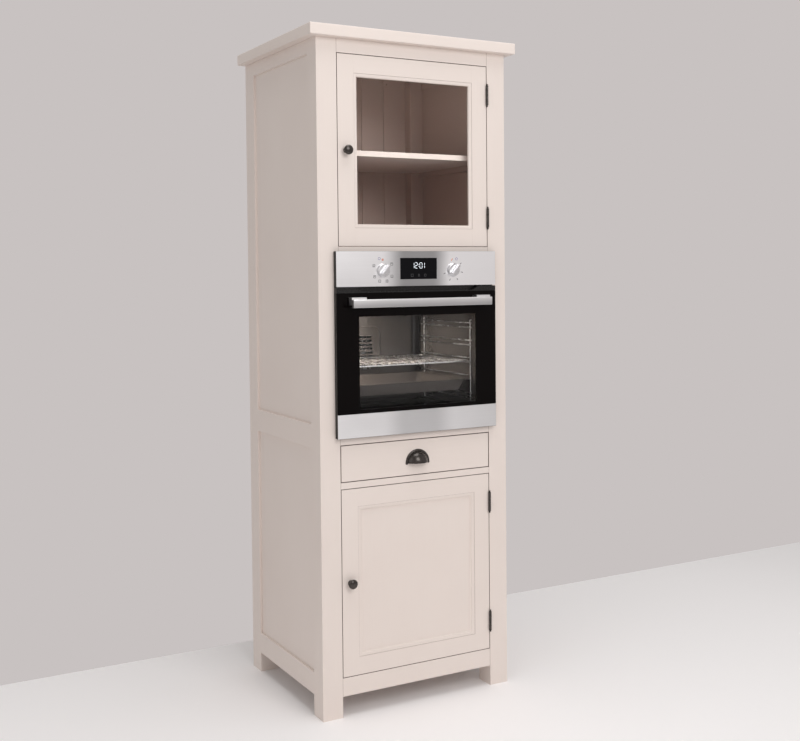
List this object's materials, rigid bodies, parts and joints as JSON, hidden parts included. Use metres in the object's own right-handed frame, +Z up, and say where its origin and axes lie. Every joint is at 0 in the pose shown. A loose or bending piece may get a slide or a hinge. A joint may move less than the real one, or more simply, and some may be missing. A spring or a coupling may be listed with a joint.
{
  "type": "tall oven housing unit",
  "caption": "Tall free-standing oven housing: glazed cupboard over a built-in oven, a drawer and a panelled cupboard, in a painted timber frame on feet",
  "frame": {"origin": "on the floor, under the middle of the unit's bounding box", "axes": "+Z up, +Y from the doors towards the back, +X towards the hinge side of the doors"},
  "size_m": [0.76, 0.672, 2.2],
  "materials": {
    "painted_timber": "satin off-white paint",
    "bare_timber": "clear matt lacquer",
    "clear_glass": "clear",
    "oven_glass": "dark tint, gloss",
    "display_glass": "black, gloss",
    "black_iron": "black, satin",
    "steel_front": "brushed along its length",
    "steel_knob": "satin",
    "rack_chrome": "polished",
    "enamel": "gloss enamel",
    "black_metal": "black, satin",
    "zinc_steel": "zinc plated",
    "element_steel": "dull, heat darkened",
    "switch_plastic": "matt",
    "seal_rubber": "matt"
  },
  "bodies": {
    "cabinet": {"top_slab": "painted_timber", "front_posts": "painted_timber", "rear_posts": "painted_timber", "top_rail": "painted_timber", "middle_rails": "painted_timber", "bottom_rail": "painted_timber", "side_rails": "painted_timber", "side_panels": "painted_timber", "rear_rails": "painted_timber", "back_panels": "painted_timber", "niche_boards": "painted_timber", "bottom_board": "painted_timber", "display_shelf": "painted_timber", "side_bearers": "painted_timber", "oven_lamp": "clear_glass", "display_glass": "display_glass", "frame_hinge_leaves": "black_iron", "hinge_pins": "black_iron", "control_panel": "steel_front", "side_racks": "rack_chrome", "oven_cavity": "enamel", "fan_cover": "enamel", "oven_front_frame": "black_metal", "drawer_runners": "zinc_steel", "magnet_catches": "zinc_steel", "oven_casing": "zinc_steel", "oven_screws": "zinc_steel", "fan_motor": "zinc_steel", "oven_hinge_brackets": "zinc_steel", "heating_elements": "element_steel", "control_switches": "switch_plastic", "door_seal": "seal_rubber"},
    "upper_door": {"upper_door_frame": "painted_timber", "upper_door_moulding": "painted_timber", "upper_door_glass": "clear_glass", "glass_retainer": "painted_timber", "upper_door_knob": "black_iron", "upper_hinge_leaves": "black_iron"},
    "lower_door": {"lower_door_frame": "painted_timber", "lower_door_moulding": "painted_timber", "lower_door_panel": "painted_timber", "lower_door_knob": "black_iron", "lower_hinge_leaves": "black_iron"},
    "drawer": {"drawer_front": "painted_timber", "drawer_box": "bare_timber", "drawer_bottom": "bare_timber", "cup_handle": "black_iron", "drawer_slides": "zinc_steel"},
    "oven_door": {"oven_door_frame": "black_metal", "door_outer_glass": "oven_glass", "door_inner_glass": "oven_glass", "door_bottom_strip": "steel_front", "door_top_trim": "black_metal", "oven_handle": "steel_front", "door_hinge_arms": "zinc_steel"},
    "function_knob": {"function_knob": "steel_knob"},
    "thermostat_knob": {"thermostat_knob": "steel_knob"},
    "fan": {"fan_wheel": "zinc_steel"},
    "wire_shelf": {"wire_shelf": "rack_chrome"},
    "baking_tray": {"baking_tray": "enamel"}
  },
  "joints": [
    {"name": "upper_door_hinge", "type": "hinge", "parent": "cabinet", "child": "upper_door", "pos_m": [0.279, -0.2789, 1.814], "axis": [0, 0, 1], "range_deg": [0, 170]},
    {"name": "lower_door_hinge", "type": "hinge", "parent": "cabinet", "child": "lower_door", "pos_m": [0.279, -0.2789, 0.432], "axis": [0, 0, 1], "range_deg": [0, 170]},
    {"name": "drawer_slide", "type": "slide", "parent": "cabinet", "child": "drawer", "axis": [0, -1, 0], "range_m": [0, 0.4]},
    {"name": "oven_door_hinge", "type": "hinge", "parent": "cabinet", "child": "oven_door", "pos_m": [0, -0.284, 0.908], "axis": [1, 0, 0], "range_deg": [0, 90], "stiffness_Nm_per_rad": 8, "springref_deg": -20.05},
    {"name": "function_knob_turn", "type": "hinge", "parent": "cabinet", "child": "function_knob", "pos_m": [-0.131, -0.304, 1.433], "axis": [0, 1, 0], "continuous": true},
    {"name": "thermostat_knob_turn", "type": "hinge", "parent": "cabinet", "child": "thermostat_knob", "pos_m": [0.131, -0.304, 1.433], "axis": [0, 1, 0], "range_deg": [-205, 95]},
    {"name": "fan_turn", "type": "hinge", "parent": "cabinet", "child": "fan", "pos_m": [0, 0.1455, 1.1375], "axis": [0, 1, 0], "continuous": true},
    {"name": "wire_shelf_slide", "type": "slide", "parent": "cabinet", "child": "wire_shelf", "axis": [0, -1, 0], "range_m": [0, 0.02]},
    {"name": "baking_tray_slide", "type": "slide", "parent": "cabinet", "child": "baking_tray", "axis": [0, -1, 0], "range_m": [0, 0.02]}
  ]
}
